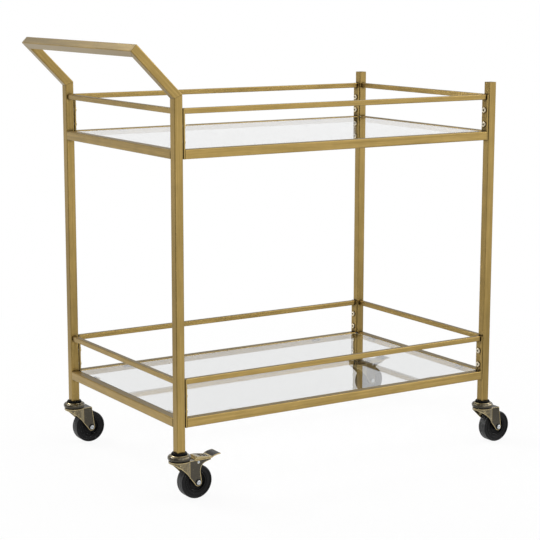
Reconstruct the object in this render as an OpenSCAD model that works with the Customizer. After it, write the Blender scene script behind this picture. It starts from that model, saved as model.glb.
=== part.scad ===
// Two-tier bar cart: square tube frame, drop-in glass shelves, slanted push handle and four swivel casters.
// X runs along the cart with the handle at -X, Y runs across it with the front at -Y, and Z runs up
// from the floor.

/* [Frame] */
// Length of the frame over its legs
frame_length = 726; // [600:1:900]
// Depth of the frame over its legs
frame_depth = 457; // [360:1:560]
// Height of the flat leg tops above the upper gallery rails
leg_over_gallery = 24.5; // [12:0.5:60]
// Width of the square tube of the legs, shelf rails and handle
tube = 17; // [15:0.5:20]
// Wall of that tube
tube_wall = 1.2; // [1:0.1:1.5]
// Outer corner radius of that tube
tube_corner = 2; // [1.8:0.1:2.5]
// Thickness of the plates that close the two straight legs
leg_cap_thickness = 1.5; // [1:0.1:3]

/* [Shelves] */
// Height of the underside of the lower shelf rails
lower_rail_height = 135.5; // [115:0.5:200]
// Height of the underside of the upper shelf rails
upper_rail_height = 623; // [560:0.5:760]
// Clear height between a shelf rail and the gallery rail above it
gallery_gap = 62.5; // [50:0.5:70]
// Width of the square gallery tube
gallery_tube = 10; // [8:0.5:14]
// Wall of the gallery tube
gallery_wall = 1; // [0.8:0.1:1.2]
// Outer corner radius of the gallery tube
gallery_corner = 1.5; // [1.3:0.1:2]

/* [Glass] */
// Thickness of a glass panel
glass_thickness = 5; // [4:0.5:6]
// Gap between a glass panel's edge and the rails round it
glass_gap = 1; // [0.5:0.1:2]
// Depth of a panel's top face below the rail tops
glass_sink = 1; // [0:0.1:2]
// Corner radius of a panel
glass_corner = 3; // [1:0.5:10]
// Length of a support tab along its rail
tab_length = 20; // [12:1:40]
// Reach of a support tab from its rail
tab_reach = 14; // [10:1:25]
// Thickness of a support tab
tab_thickness = 2; // [1.5:0.1:3]
// Distance from the frame's end to the tabs on the long rails
long_tab_inset = 129; // [60:1:200]
// Distance from the frame's side to the tabs on the end rails
end_tab_inset = 75; // [60:1:150]
// Diameter of a clear bumper pad
bumper_diameter = 8; // [6:0.5:10]
// Height of a clear bumper pad
bumper_height = 2; // [1:0.1:3]

/* [Side panel fixings] */
// Thickness of the end plates of a side panel
plate_thickness = 3; // [2:0.1:4]
// Width of those plates
plate_width = 16; // [13:0.5:17]
// Distance between the two bolts of a plate
bolt_spacing = 28; // [20:1:36]
// Thread diameter of the bolts
bolt_diameter = 6; // [5:1:6]
// Length of a bolt under its head
bolt_length = 12; // [10:1:15]
// Diameter of a bolt head
bolt_head_diameter = 10.5; // [9:0.1:12]
// Height of a bolt head
bolt_head_height = 3.2; // [2.5:0.1:4]
// Width across the flats of the bolt's hex socket
socket_flats = 4; // [3:0.5:5]
// Depth of the hex socket
socket_depth = 2; // [1:0.1:2.3]
// Barrel diameter of a rivet nut
nut_diameter = 9; // [8:0.1:9.5]
// Length of a rivet nut inside the leg
nut_length = 12; // [9:0.5:12.5]
// Flange diameter of a rivet nut
nut_flange_diameter = 13; // [11:0.1:14]
// Flange thickness of a rivet nut, which is also the gap from plate to leg
nut_flange_thickness = 1.5; // [0.8:0.1:2]

/* [Handle] */
// Length of a handle arm from the middle of its bend to the outer face of the grip
handle_length = 122.5; // [80:0.5:200]
// Angle between a leg and its handle arm
handle_angle = 45; // [20:1:70]

/* [Casters] */
// Height of the leg ends above the floor
leg_end_height = 90; // [88:0.5:100]
// Wheel diameter
wheel_diameter = 63.5; // [58:0.5:66]
// Wheel width over the tyre
wheel_width = 22; // [16:0.5:24]
// Distance from the swivel axis back to the wheel axle
trail = 31; // [28:0.5:34]
// Gap between the tread and the fork's crown plate
tread_gap = 8.5; // [7:0.1:11]
// Gap between the fork's crown plate and the raceway cap's rim
cap_gap = 1; // [0.5:0.1:1.5]
// Gap between the tyre's side and the fork cheek
cheek_gap = 2; // [1.5:0.1:3]
// Sheet thickness of the fork
fork_wall = 2; // [1.5:0.1:2.5]
// Outer radius of the fork's round skirt
skirt_radius = 20; // [18.5:0.1:21]
// Height of the skirt's front lip above the wheel's top
lip_rise = 7; // [4:0.1:8]
// Distance from the swivel axis forward to the bend in the fork's front edge
edge_bend_ahead = 1.5; // [0:0.1:6]
// Drop of that bend below the lip
edge_bend_drop = 6; // [2:0.1:9]
// Radius of the cheek round the axle
cheek_radius = 7.2; // [7:0.1:9]
// Distance from the axle back to the waist of a braked fork's cheek
cheek_waist_back = 4.6; // [4:0.1:6]
// Drop of the corner under a braked fork's ear below its crown plate
ear_root_drop = 6.5; // [5:0.5:10]
// Length over which that corner is rounded
ear_curve = 14; // [6:0.5:15]
// Height of a fork ear at its end
ear_end_height = 3; // [2:0.5:5]
// Distance from the axle forward to the back edge of a plain fork's top
plain_fork_back = 1.5; // [1:0.1:7]
// Axle diameter
axle_diameter = 6; // [5:0.5:8]
// Diameter of the axle's domed head
axle_head_diameter = 9.5; // [8.5:0.1:12]
// Height of the axle's domed head
axle_head_height = 3.5; // [2.5:0.1:4.5]
// Width across the flats of the axle nut
axle_nut_flats = 10; // [9:0.5:13]
// Thickness of the axle nut
axle_nut_height = 5; // [3:0.1:6]
// Inner radius of the rubber tyre
tyre_inner_radius = 20.5; // [18:0.1:24]
// Radius of the tyre's shoulders
tyre_shoulder = 3; // [1.5:0.1:4]
// Width of the hub's web
hub_web = 8; // [6:0.5:12]
// Radius of the hub's boss
hub_boss_radius = 7.5; // [6:0.1:10]
// Radius of the round raceway cap
cap_radius = 21.7; // [20:0.1:23]
// Height of the raceway cap without its neck
cap_height = 10.5; // [10:0.1:13]
// Sheet thickness of the raceway cap
cap_wall = 1.5; // [1:0.1:1.8]
// Height of the neck on top of the raceway cap
neck_height = 0.6; // [0.4:0.1:3]
// Diameter of the bearing balls
ball_diameter = 6.35; // [5:0.05:6.4]
// Radius of the ring of bearing balls
ball_ring_radius = 13; // [12.8:0.1:13.5]
// Diameter of the caster stem
stem_diameter = 10; // [8:0.5:10]
// Length of the caster stem inside the leg
stem_length = 25; // [15:1:40]
// Length of the plastic plug inside the leg
plug_length = 28; // [20:1:45]
// Diameter of the plug's collar under the leg
plug_collar_diameter = 27; // [24:0.5:28]

/* [Brakes] */
// Distance from the axle back to the brake lever's pin
brake_pin_back = 0.5; // [0:0.1:4]
// Height of the brake lever's pin over the wheel's top
brake_pin_rise = 6.5; // [6:0.1:7.5]
// Diameter of the brake lever's pin
brake_pin_diameter = 4; // [3:0.1:4.5]
// Sheet thickness of the brake lever
lever_wall = 2; // [1.5:0.1:2.5]
// Distance from the swivel axis to the end of the fork's ears
ear_reach = 58; // [50:0.5:60]
// Distance from the swivel axis to the pedal's end
pedal_reach = 78; // [72:0.5:90]
// Width of the pedal
pedal_width = 31; // [26:0.5:36]
// Height of the lever's flat front over the fork's crown plate
lever_over_crown = 5; // [3.5:0.1:6]
// Height of the lever's neck over the fork's crown plate
neck_over_crown = 1.4; // [1:0.1:3]
// Gap between the lever's sides and the fork ears
lever_side_gap = 0.6; // [0.4:0.1:1]
// Distance that the lever reaches forward of its pin
lever_nose = 6; // [5:0.5:7]
// Height of the lever's sloping nose over the fork's crown plate
nose_over_crown = 1; // [0.5:0.1:2.5]
// Length of each of the lever's two windows
window_length = 4; // [3:0.5:5]
// Height of the pedal's end over the fork's crown plate
pedal_over_crown = 6.3; // [3:0.1:9]
// Part of the pedal's length over which it bends upward
pedal_bend = 0.35; // [0.2:0.05:0.6]
// Angle that the lever turns through to press its shoe on the tread
lever_throw = 12; // [8:1:13]

/* [Hidden] */
$fn = 64;
// Room all round a bolt in its hole, and between moving pieces
hole_gap = 0.3;
// Room all round a shaft in its bore, and round a thread
running_gap = 0.05;
thread_gap = 0.05;
// Length by which a cutting shape passes the surface that it cuts
cut = 1;

// Shelves: heights above the underside of the shelf rails
gallery_rise = tube + gallery_gap;
plate_height = gallery_rise + gallery_tube;
bolt_rises = [(plate_height - bolt_spacing) / 2, (plate_height + bolt_spacing) / 2];
glass_rise = tube - glass_sink - glass_thickness;
tab_rise = glass_rise - bumper_height - tab_thickness;
shelf_heights = [lower_rail_height, upper_rail_height];
end_rail_length = frame_depth - 2 * tube;
side_rail_length = frame_length - 2 * (tube + nut_flange_thickness + plate_thickness);

// Frame
leg_top_height = upper_rail_height + plate_height + leg_over_gallery;
middle_to_leg_x = (frame_length - tube) / 2;
middle_to_leg_y = (frame_depth - tube) / 2;
half_bend = handle_angle / 2;
bend_height = leg_top_height - tube / 2 * tan(half_bend);
grip_length = frame_depth;

// The origin lies on the floor under the middle of the whole cart, from the grip to the rear pedal
grip_overhang = (handle_length - tube_corner) * sin(handle_angle)
    + (tube / 2 - tube_corner) * cos(handle_angle) + tube_corner - tube / 2;
pedal_overhang = pedal_reach - tube / 2;
frame_x = (grip_overhang - pedal_overhang) / 2;

// Casters: heights above the floor, and distances from the swivel axis
axle_height = wheel_diameter / 2;
crown_bottom = wheel_diameter + tread_gap;
crown_top = crown_bottom + fork_wall;
cheek_inside = wheel_width / 2 + cheek_gap;
cheek_outside = cheek_inside + fork_wall;
lip_height = wheel_diameter + lip_rise;
cap_bottom = crown_top + cap_gap;
cap_top = cap_bottom + cap_height;
rim_tuck = 0.6;
rim_radius = (cap_height + rim_tuck) / 2;
collar_gap = 0.6;
neck_hole_radius = plug_collar_diameter / 2 + collar_gap;
ball_gap = 0.1;
ball_height = crown_top + ball_gap + ball_diameter / 2;
race_height = ball_height + (ball_diameter + ball_gap) / 2;
race_width = 6;
brake_pin_x = trail + brake_pin_back;
brake_pin_height = wheel_diameter + brake_pin_rise;
lever_half_width = cheek_inside - lever_side_gap;
lever_top = crown_top + lever_over_crown;
neck_top = crown_top + neck_over_crown;
pedal_top = crown_top + pedal_over_crown;
shoe_back = 6.5;
shoe_stop_gap = 0.6;
// Gap in the fork's crown ahead of the lever, and places on the lever measured from its pin
nose_gap = 1.2;
nose_length = 5;
window_back = 8;
side_foot_back = 10;
side_drop = 4;
// Distance that the lever's neck runs past the fork's ears
neck_past_ears = 1.5;
pedal_steps = 6;
shoe_bottom = axle_height + shoe_back * sin(lever_throw)
    + sqrt(pow(wheel_diameter / 2 + shoe_stop_gap, 2) - pow(brake_pin_back + shoe_back, 2));

// One caster under each leg: its place in the frame, and whether it has a brake
FRONT_LEFT = [-1, -1];
REAR_LEFT = [-1, 1];
FRONT_RIGHT = [1, -1];
REAR_RIGHT = [1, 1];
CORNERS = [FRONT_LEFT, REAR_LEFT, FRONT_RIGHT, REAR_RIGHT];

FRAME_GOLD = "#a8925a";
PLUG_BLACK = "#1c1c1c";
CASTER_BRONZE = "#5a5040";
ZINC = "#c4c6c8";

// Square with rounded corners, centred
module rounded_square(size, corner) {
    square([size, size - 2 * corner], center = true);
    square([size - 2 * corner, size], center = true);
    for (x = [-1, 1], y = [-1, 1])
        translate([x, y] * (size / 2 - corner)) circle(r = corner, $fn = 32);
}

// Hollow square tube standing on the origin
module square_tube(size, wall, corner, length) {
    linear_extrude(length) difference() {
        rounded_square(size, corner);
        rounded_square(size - 2 * wall, corner - wall);
    }
}

module frame_tube(length) square_tube(tube, tube_wall, tube_corner, length);

module gallery_bar(length) square_tube(gallery_tube, gallery_wall, gallery_corner, length);

// Turns a piece that stands on the origin so that it lies centred along X or Y
module along_x(length) translate([-length / 2, 0, 0]) rotate([0, 90, 0]) children();

module along_y(length) translate([0, -length / 2, 0]) rotate([-90, 0, 0]) children();

// Puts a piece at a leg's axis, with +X toward the middle of the cart
module at_leg(corner) {
    translate([frame_x + corner[0] * middle_to_leg_x, corner[1] * middle_to_leg_y, 0])
        mirror([corner[0] > 0 ? 1 : 0, 0, 0]) children();
}

// Puts a piece at a leg's axis without turning it
module under_leg(corner) {
    translate([frame_x + corner[0] * middle_to_leg_x, corner[1] * middle_to_leg_y, 0]) children();
}

// Puts a piece at each place of a bolt on a leg's inner face, with +X out of the leg
module at_bolts() {
    for (shelf = shelf_heights, rise = bolt_rises)
        translate([tube / 2, 0, shelf + rise]) rotate([0, 90, 0]) children();
}

// Legs

module nut_holes() at_bolts() {
    translate([0, 0, -tube / 2]) cylinder(d = nut_diameter + 2 * thread_gap, h = tube / 2 + cut);
}

// A handle leg ends in a mitre that leans toward the middle of the cart
module handle_leg(corner) color(FRAME_GOLD) at_leg(corner) difference() {
    intersection() {
        translate([0, 0, leg_end_height]) frame_tube(leg_top_height - leg_end_height + tube);
        rotate([90, 0, 0]) linear_extrude(2 * tube, center = true) polygon([
            [-tube, 0], [tube, 0],
            [tube, bend_height + tube * tan(half_bend)],
            [-tube, bend_height - tube * tan(half_bend)]
        ]);
    }
    nut_holes();
}

module straight_leg(corner) color(FRAME_GOLD) at_leg(corner) difference() {
    translate([0, 0, leg_end_height]) frame_tube(leg_top_height - leg_cap_thickness - leg_end_height);
    nut_holes();
}

module leg_front_left() handle_leg(FRONT_LEFT);
module leg_rear_left() handle_leg(REAR_LEFT);
module leg_front_right() straight_leg(FRONT_RIGHT);
module leg_rear_right() straight_leg(REAR_RIGHT);

module leg_top_caps() color(FRAME_GOLD) for (corner = [FRONT_RIGHT, REAR_RIGHT]) at_leg(corner)
    translate([0, 0, leg_top_height - leg_cap_thickness])
        linear_extrude(leg_cap_thickness) rounded_square(tube, tube_corner);

// Handle: drawn upright over the bend, then tilted outward

module tilted_handle() translate([frame_x - middle_to_leg_x, 0, bend_height])
    rotate([0, -handle_angle, 0]) children();

// An arm is mitred in the cart's length at its bend and in its width at the grip
module handle_arm(side) color(FRAME_GOLD) tilted_handle() mirror([0, side > 0 ? 1 : 0, 0]) intersection() {
    translate([0, -middle_to_leg_y, -tube]) frame_tube(handle_length + tube);
    rotate([90, 0, 0]) linear_extrude(frame_depth + tube, center = true) polygon([
        [-tube, tube * tan(half_bend)], [tube, -tube * tan(half_bend)],
        [tube, handle_length + tube], [-tube, handle_length + tube]
    ]);
    rotate([90, 0, 90]) linear_extrude(2 * tube, center = true) polygon([
        [-frame_depth / 2 - tube, -tube], [-frame_depth / 2 + tube, -tube],
        [-frame_depth / 2 + tube, handle_length - tube],
        [-frame_depth / 2 - tube, handle_length + tube]
    ]);
}

module handle_arm_front() handle_arm(-1);
module handle_arm_rear() handle_arm(1);

module handle_grip() color(FRAME_GOLD) tilted_handle() intersection() {
    translate([0, 0, handle_length - tube / 2]) along_y(grip_length) frame_tube(grip_length);
    rotate([90, 0, 90]) linear_extrude(2 * tube, center = true) polygon([
        [-frame_depth / 2, handle_length], [frame_depth / 2, handle_length],
        [frame_depth / 2 - 2 * tube, handle_length - 2 * tube],
        [-frame_depth / 2 + 2 * tube, handle_length - 2 * tube]
    ]);
}

// End frames: rails that run between two legs

module end_rail(side, shelf) color(FRAME_GOLD)
    translate([frame_x + side * middle_to_leg_x, 0, shelf + tube / 2])
        along_y(end_rail_length) frame_tube(end_rail_length);

module end_gallery(side, shelf) color(FRAME_GOLD)
    translate([frame_x + side * middle_to_leg_x, 0, shelf + gallery_rise + gallery_tube / 2])
        along_y(end_rail_length) gallery_bar(end_rail_length);

module lower_left_rail() end_rail(-1, lower_rail_height);
module lower_right_rail() end_rail(1, lower_rail_height);
module upper_left_rail() end_rail(-1, upper_rail_height);
module upper_right_rail() end_rail(1, upper_rail_height);
module lower_left_gallery() end_gallery(-1, lower_rail_height);
module lower_right_gallery() end_gallery(1, lower_rail_height);
module upper_left_gallery() end_gallery(-1, upper_rail_height);
module upper_right_gallery() end_gallery(1, upper_rail_height);

// Side panels: rails that run between the end plates

module side_rail(side, shelf) color(FRAME_GOLD)
    translate([frame_x, side * middle_to_leg_y, shelf + tube / 2])
        along_x(side_rail_length) frame_tube(side_rail_length);

module side_gallery(side, shelf) color(FRAME_GOLD)
    translate([frame_x, side * middle_to_leg_y, shelf + gallery_rise + gallery_tube / 2])
        along_x(side_rail_length) gallery_bar(side_rail_length);

module lower_front_rail() side_rail(-1, lower_rail_height);
module lower_rear_rail() side_rail(1, lower_rail_height);
module upper_front_rail() side_rail(-1, upper_rail_height);
module upper_rear_rail() side_rail(1, upper_rail_height);
module lower_front_gallery() side_gallery(-1, lower_rail_height);
module lower_rear_gallery() side_gallery(1, lower_rail_height);
module upper_front_gallery() side_gallery(-1, upper_rail_height);
module upper_rear_gallery() side_gallery(1, upper_rail_height);

// A plate stands off its leg by the thickness of the rivet nuts' flanges
module end_plates(shelf) color(FRAME_GOLD) for (corner = CORNERS) at_leg(corner)
    translate([tube / 2 + nut_flange_thickness, 0, shelf]) difference() {
        translate([0, -plate_width / 2, 0]) cube([plate_thickness, plate_width, plate_height]);
        for (rise = bolt_rises) translate([-cut, 0, rise]) rotate([0, 90, 0])
            cylinder(d = bolt_diameter + 2 * hole_gap, h = plate_thickness + 2 * cut);
    }

module lower_end_plates() end_plates(lower_rail_height);
module upper_end_plates() end_plates(upper_rail_height);

// Button head bolt with a hex socket, its head's seat on the origin
module button_bolt() {
    crown_drop = bolt_head_height / 3;
    difference() {
        union() {
            cylinder(d = bolt_head_diameter, h = bolt_head_height - crown_drop);
            translate([0, 0, bolt_head_height - crown_drop])
                cylinder(d1 = bolt_head_diameter, d2 = bolt_head_diameter * 0.72, h = crown_drop);
        }
        translate([0, 0, bolt_head_height - socket_depth])
            cylinder(d = socket_flats / cos(30), h = socket_depth + cut, $fn = 6);
    }
    translate([0, 0, -bolt_length]) cylinder(d = bolt_diameter - 2 * thread_gap, h = bolt_length);
}

module plate_bolts() color("#cdb268") for (corner = CORNERS) at_leg(corner) at_bolts()
    translate([0, 0, nut_flange_thickness + plate_thickness]) button_bolt();

// Rivet nut: flange outside the leg, barrel and swaged bulb inside it
module rivet_nut() difference() {
    nut_bulb_diameter = nut_diameter + 2.5;
    union() {
        cylinder(d = nut_flange_diameter, h = nut_flange_thickness);
        translate([0, 0, -nut_length]) cylinder(d = nut_diameter, h = nut_length + cut / 2);
        translate([0, 0, -tube_wall - nut_length / 4]) cylinder(d = nut_bulb_diameter, h = nut_length / 4);
    }
    translate([0, 0, -nut_length - cut]) cylinder(d = bolt_diameter, h = nut_length + 3 * cut);
}

module rivet_nuts() color(ZINC) for (corner = CORNERS) at_leg(corner) at_bolts() rivet_nut();

// Glass shelves

// Puts a piece at each support tab of a shelf, with +X from the rail's inner face toward the glass
module at_tabs() {
    inner_x = frame_length / 2 - tube;
    inner_y = frame_depth / 2 - tube;
    for (side = [-1, 1], end = [-1, 1]) {
        translate([frame_x + end * (frame_length / 2 - long_tab_inset), side * inner_y, 0])
            rotate([0, 0, -90 * side]) children();
        translate([frame_x + end * inner_x, side * (frame_depth / 2 - end_tab_inset), 0])
            rotate([0, 0, end > 0 ? 180 : 0]) children();
    }
}

module glass_tabs(shelf) color(FRAME_GOLD) at_tabs()
    translate([0, -tab_length / 2, shelf + tab_rise]) cube([tab_reach, tab_length, tab_thickness]);

module bumpers(shelf) color("#e4ebee") at_tabs()
    translate([tab_reach / 2, 0, shelf + tab_rise + tab_thickness])
        cylinder(d = bumper_diameter, h = bumper_height, $fn = 32);

module lower_glass_tabs() glass_tabs(lower_rail_height);
module upper_glass_tabs() glass_tabs(upper_rail_height);
module lower_bumpers() bumpers(lower_rail_height);
module upper_bumpers() bumpers(upper_rail_height);

module glass(shelf) color("#dfe8e8", 0.4) {
    panel_x = frame_length - 2 * (tube + glass_gap);
    panel_y = frame_depth - 2 * (tube + glass_gap);
    translate([frame_x, 0, shelf + glass_rise]) linear_extrude(glass_thickness) {
        square([panel_x, panel_y - 2 * glass_corner], center = true);
        square([panel_x - 2 * glass_corner, panel_y], center = true);
        for (x = [-1, 1], y = [-1, 1])
            translate([x * (panel_x / 2 - glass_corner), y * (panel_y / 2 - glass_corner)])
                circle(r = glass_corner, $fn = 32);
    }
}

module lower_glass() glass(lower_rail_height);
module upper_glass() glass(upper_rail_height);

// Caster pieces that stay with the legs

// Plug: a square body inside the leg and a round collar under it, bored for the stem
module leg_plugs() color(PLUG_BLACK) for (corner = CORNERS) under_leg(corner) difference() {
    body = tube - 2 * tube_wall - 2 * running_gap;
    union() {
        translate([0, 0, leg_end_height]) linear_extrude(plug_length) rounded_square(body, 1.5);
        translate([0, 0, cap_top]) cylinder(d = plug_collar_diameter, h = leg_end_height - cap_top);
    }
    translate([0, 0, cap_top - cut])
        cylinder(d = stem_diameter + 2 * thread_gap, h = plug_length + leg_end_height - cap_top + 2 * cut);
}

// Stem: thread in the plug, shoulder under the cap, king pin through the fork and a riveted foot
module caster_stems() color(ZINC) for (corner = CORNERS) under_leg(corner) {
    shoulder_diameter = stem_diameter + 5;
    shoulder_height = 4;
    foot_diameter = stem_diameter + 7;
    foot_height = 2.5;
    foot_bottom = crown_bottom - hole_gap - foot_height;
    translate([0, 0, foot_bottom])
        cylinder(d = stem_diameter, h = leg_end_height + stem_length - foot_bottom);
    translate([0, 0, cap_top - cap_wall - shoulder_height])
        cylinder(d = shoulder_diameter, h = shoulder_height);
    translate([0, 0, foot_bottom]) cylinder(d = foot_diameter, h = foot_height);
}

// Raceway cap: a rolled rim, a flat top bored for the stem, a neck round the collar and the upper ball race
module cap_section() {
    rim_x = cap_radius - rim_radius;
    rim_z = cap_top - rim_radius;
    intersection() {
        union() {
            difference() {
                translate([rim_x, rim_z]) circle(r = rim_radius);
                translate([rim_x, rim_z]) circle(r = rim_radius - cap_wall);
                translate([0, cap_bottom - cut]) square([rim_x, cap_height - cap_wall + cut]);
            }
            translate([0, cap_top - cap_wall]) square([rim_x, cap_wall]);
            translate([neck_hole_radius, cap_top - cap_wall]) square([cap_wall, cap_wall + neck_height]);
            translate([ball_ring_radius - race_width / 2, race_height])
                square([race_width, cap_top - race_height]);
        }
        translate([stem_diameter / 2 + thread_gap, cap_bottom])
            square([cap_radius, cap_height + neck_height]);
    }
}

module caster_caps() color(CASTER_BRONZE) for (corner = CORNERS) under_leg(corner)
    rotate_extrude() cap_section();

module caster_balls() color(ZINC) for (corner = CORNERS) under_leg(corner) {
    count = floor(2 * PI * ball_ring_radius / (ball_diameter + 2 * ball_gap));
    for (i = [0 : count - 1]) rotate([0, 0, i * 360 / count])
        translate([ball_ring_radius, 0, ball_height]) sphere(d = ball_diameter, $fn = 32);
}

// Points of a curve that leaves one point toward a corner and arrives at another point from it
function bend(from, corner, to, steps = 8) = [
    for (i = [0 : steps]) let (t = i / steps)
        (1 - t) * (1 - t) * from + 2 * t * (1 - t) * corner + t * t * to
];

// Fork

// The front edge of a cheek curves from the lip to a tangent of the round end at the axle
function tangent_angle(from, to, radius) =
    atan2(from[1] - to[1], from[0] - to[0]) + acos(radius / norm(from - to));

module fork_side(back_points) {
    axle = [trail, axle_height];
    lip = [-skirt_radius, lip_height];
    corner = [-edge_bend_ahead, lip_height - edge_bend_drop];
    foot_angle = tangent_angle(corner, axle, cheek_radius);
    foot = axle + cheek_radius * [cos(foot_angle), sin(foot_angle)];
    polygon(concat(
        [[lip[0] - cut, crown_top], [lip[0] - cut, lip_height]], bend(lip, corner, foot),
        [axle, [trail + cheek_radius, axle_height]], back_points
    ));
    translate(axle) circle(r = cheek_radius);
}

// Plan of the fork: a round skirt with two straight cheeks behind it
module fork_plan(radius, half_width, length) {
    circle(r = radius);
    translate([0, -half_width]) square([length, 2 * half_width]);
}

module fork_shell(back_points, reach) difference() {
    intersection() {
        linear_extrude(crown_top) fork_plan(skirt_radius, cheek_outside, reach);
        rotate([90, 0, 0]) linear_extrude(2 * skirt_radius + cut, center = true) fork_side(back_points);
    }
    translate([0, 0, -cut]) linear_extrude(crown_bottom + cut)
        fork_plan(skirt_radius - fork_wall, cheek_inside, reach + cut);
    translate([0, 0, crown_bottom - cut])
        cylinder(d = stem_diameter + 2 * hole_gap, h = fork_wall + 2 * cut);
    translate([trail, 0, axle_height]) rotate([90, 0, 0])
        cylinder(d = axle_diameter + 2 * running_gap, h = 3 * cheek_outside, center = true);
}

module plain_fork(corner) color(CASTER_BRONZE) under_leg(corner)
    fork_shell([[trail + plain_fork_back, crown_top]], trail + cheek_radius + cut);

// A braked fork has ears that carry the lever's pin, and no top between them
module braked_fork(corner) color(CASTER_BRONZE) under_leg(corner) difference() {
    root = [trail + cheek_waist_back, crown_bottom - ear_root_drop];
    ear_end = [ear_reach, crown_top - ear_end_height];
    under_ear = root + ear_curve * (ear_end - root) / norm(ear_end - root);
    fork_shell(
        concat(bend(root - [0, ear_curve], root, under_ear), [ear_end, [ear_reach, crown_top]]),
        ear_reach + cut
    );
    translate([brake_pin_x - lever_nose - nose_gap, -cheek_inside, crown_bottom - cut])
        cube([ear_reach, 2 * cheek_inside, fork_wall + 2 * cut]);
    translate([brake_pin_x, 0, brake_pin_height]) rotate([90, 0, 0])
        cylinder(d = brake_pin_diameter + 2 * running_gap, h = 3 * cheek_outside, center = true);
}

module fork_front_left() braked_fork(FRONT_LEFT);
module fork_rear_left() plain_fork(REAR_LEFT);
module fork_front_right() plain_fork(FRONT_RIGHT);
module fork_rear_right() braked_fork(REAR_RIGHT);

// Wheel

// Puts a piece that is turned about Z on a caster's axle
module on_axle(corner) under_leg(corner) translate([trail, 0, axle_height]) rotate([90, 0, 0]) children();

// Tyre: rounded shoulders and a shallow groove in each side
module tyre_section() {
    half = wheel_width / 2;
    outer = wheel_diameter / 2;
    groove_radius = (tyre_inner_radius + outer) / 2;
    groove = [2, 1.6];
    difference() {
        union() {
            translate([tyre_inner_radius, -half])
                square([outer - tyre_shoulder - tyre_inner_radius, wheel_width]);
            translate([outer - 2 * tyre_shoulder, tyre_shoulder - half])
                square([2 * tyre_shoulder, wheel_width - 2 * tyre_shoulder]);
            for (y = [-1, 1]) translate([outer - tyre_shoulder, y * (half - tyre_shoulder)])
                circle(r = tyre_shoulder, $fn = 32);
        }
        for (y = [-1, 1]) translate([groove_radius, y * half]) square(groove, center = true);
    }
}

module tyre(corner) color("#222222") on_axle(corner) rotate_extrude() tyre_section();

// Hub: rim under the tyre, thin web and a boss bored for the axle
module hub(corner) color("#2a2a2a") on_axle(corner) difference() {
    rim_thickness = 3.5;
    rim_inset = 2;
    union() {
        difference() {
            cylinder(r = tyre_inner_radius, h = wheel_width - 2 * rim_inset, center = true);
            for (side = [-1, 1]) translate([0, 0, side * (hub_web / 2 + wheel_width / 2)])
                cylinder(r = tyre_inner_radius - rim_thickness, h = wheel_width, center = true);
        }
        cylinder(r = hub_boss_radius, h = 2 * (cheek_inside - hole_gap), center = true);
    }
    cylinder(d = axle_diameter + 2 * running_gap, h = 2 * wheel_width, center = true);
}

// Axle: a bolt with a domed head at the front and a hex nut at the rear
module axle(corner) color(ZINC) on_axle(corner) {
    shank = cheek_outside + axle_nut_height + 1;
    translate([0, 0, -shank]) cylinder(d = axle_diameter, h = shank + cheek_outside + cut / 2);
    translate([0, 0, cheek_outside]) {
        cylinder(d = axle_head_diameter, h = axle_head_height / 2);
        translate([0, 0, axle_head_height / 2])
            cylinder(d1 = axle_head_diameter, d2 = axle_head_diameter * 0.6, h = axle_head_height / 2);
    }
    difference() {
        translate([0, 0, -cheek_outside - axle_nut_height])
            cylinder(d = axle_nut_flats / cos(30), h = axle_nut_height, $fn = 6);
        translate([0, 0, -cheek_outside - axle_nut_height - cut])
            cylinder(d = axle_diameter + 2 * thread_gap, h = axle_nut_height + 2 * cut);
    }
}

module tyre_front_left() tyre(FRONT_LEFT);
module tyre_rear_left() tyre(REAR_LEFT);
module tyre_front_right() tyre(FRONT_RIGHT);
module tyre_rear_right() tyre(REAR_RIGHT);
module hub_front_left() hub(FRONT_LEFT);
module hub_rear_left() hub(REAR_LEFT);
module hub_front_right() hub(FRONT_RIGHT);
module hub_rear_right() hub(REAR_RIGHT);
module axle_front_left() axle(FRONT_LEFT);
module axle_rear_left() axle(REAR_LEFT);
module axle_front_right() axle(FRONT_RIGHT);
module axle_rear_right() axle(REAR_RIGHT);

// Brake

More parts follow.
